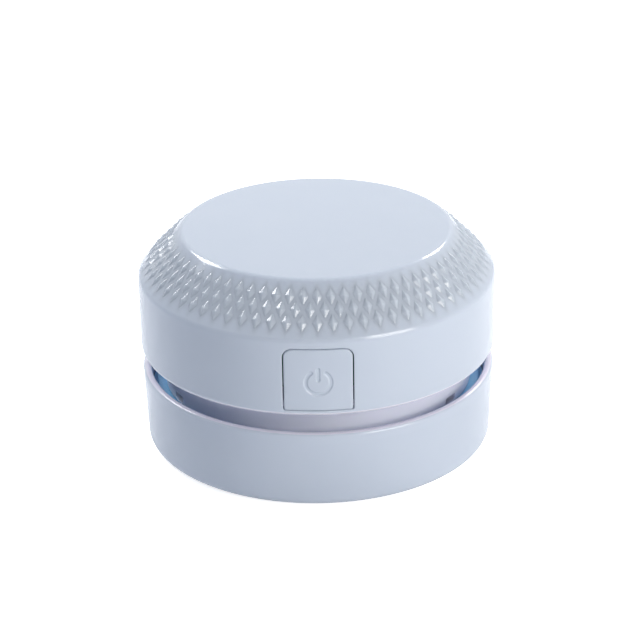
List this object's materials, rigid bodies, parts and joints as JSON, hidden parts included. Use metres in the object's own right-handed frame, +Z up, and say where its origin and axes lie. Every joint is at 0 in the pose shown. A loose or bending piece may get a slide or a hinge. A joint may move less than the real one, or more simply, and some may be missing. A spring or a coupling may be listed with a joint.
{
  "type": "desktop mini vacuum cleaner",
  "caption": "Round battery desktop vacuum: knurled head with motor, fan and front power button, twisted onto a shallow dust cup with a brush-ringed inlet.",
  "frame": {"origin": "on the tabletop, under the centre of the round body", "axes": "+Z up through the body's axis, -Y towards the power button, +Y towards the charging socket"},
  "size_m": [0.085, 0.085, 0.0532],
  "materials": {
    "housing_abs": "polished moulded ABS, pale blue-grey",
    "neck_abs": "fine satin moulded ABS, pale lilac grey",
    "collar_abs": "satin moulded ABS, clear blue",
    "inner_abs": "plain moulded ABS, light grey",
    "seal_silicone": "moulded silicone, clear blue",
    "foot_rubber": "matt rubber",
    "brush_nylon": "nylon bristles in a plastic back",
    "filter_felt": "pleated non-woven filter felt",
    "zinc_steel": "zinc-plated steel",
    "ground_steel": "ground steel",
    "lamination_steel": "stacked steel laminations",
    "magnet_ferrite": "sintered ferrite",
    "copper_wire": "enamelled copper windings",
    "terminal_brass": "stamped brass",
    "motor_nylon": "moulded nylon",
    "board_epoxy": "green solder mask on glass epoxy",
    "switch_plastic": "moulded black plastic",
    "socket_steel": "nickel-plated steel",
    "cell_foil": "laminated foil pouch",
    "foam": "closed-cell foam",
    "wire_pvc": "PVC insulation",
    "wire_dark": "PVC insulation, dark"
  },
  "bodies": {
    "cup": {"dust_cup": "housing_abs", "lock_collar": "collar_abs", "inlet_duct": "inner_abs", "duct_screws": "zinc_steel", "brush_ring": "brush_nylon", "foot_pads": "foot_rubber"},
    "seal": {"seal_ring": "seal_silicone"},
    "head": {"top_shell": "housing_abs", "neck_frame": "neck_abs", "housing_screws": "zinc_steel", "fan_shroud": "inner_abs", "shroud_screws": "zinc_steel", "filter_frame": "inner_abs", "filter_media": "filter_felt", "motor_can": "zinc_steel", "motor_magnets": "magnet_ferrite", "motor_end_cap": "motor_nylon", "motor_terminals": "terminal_brass", "motor_damper": "foam", "motor_pad": "foam", "battery_tray": "inner_abs", "battery_cell": "cell_foil", "tray_screws": "zinc_steel", "charge_board": "board_epoxy", "board_screws": "zinc_steel", "charge_socket": "socket_steel", "socket_tongue": "switch_plastic", "control_board": "board_epoxy", "tact_switch": "switch_plastic", "button_guide": "inner_abs", "motor_leads": "wire_pvc", "battery_leads": "wire_pvc", "link_leads": "wire_dark"},
    "rotor": {"motor_shaft": "ground_steel", "armature_core": "lamination_steel", "armature_coils": "copper_wire", "impeller": "motor_nylon"},
    "button": {"power_button": "housing_abs", "switch_plunger": "motor_nylon"}
  },
  "joints": [
    {"name": "head_lift", "type": "slide", "parent": "cup", "child": "seal", "axis": [0, 0, 1], "range_m": [0, 0.006]},
    {"name": "head_twist", "type": "hinge", "parent": "seal", "child": "head", "pos_m": [0, 0, 0.0145], "axis": [0, 0, 1], "range_deg": [0, 90]},
    {"name": "fan_spin", "type": "hinge", "parent": "head", "child": "rotor", "pos_m": [0, 0, 0.022], "axis": [0, 0, 1], "continuous": true},
    {"name": "button_press", "type": "slide", "parent": "head", "child": "button", "axis": [0, 1, 0], "range_m": [0, 0.0008], "stiffness_N_per_m": 1500, "springref_m": -0.0006}
  ],
  "couplings": [
    {"joint": "head_lift", "follows": "head_twist", "m_per_rad": 0.0038197}
  ]
}
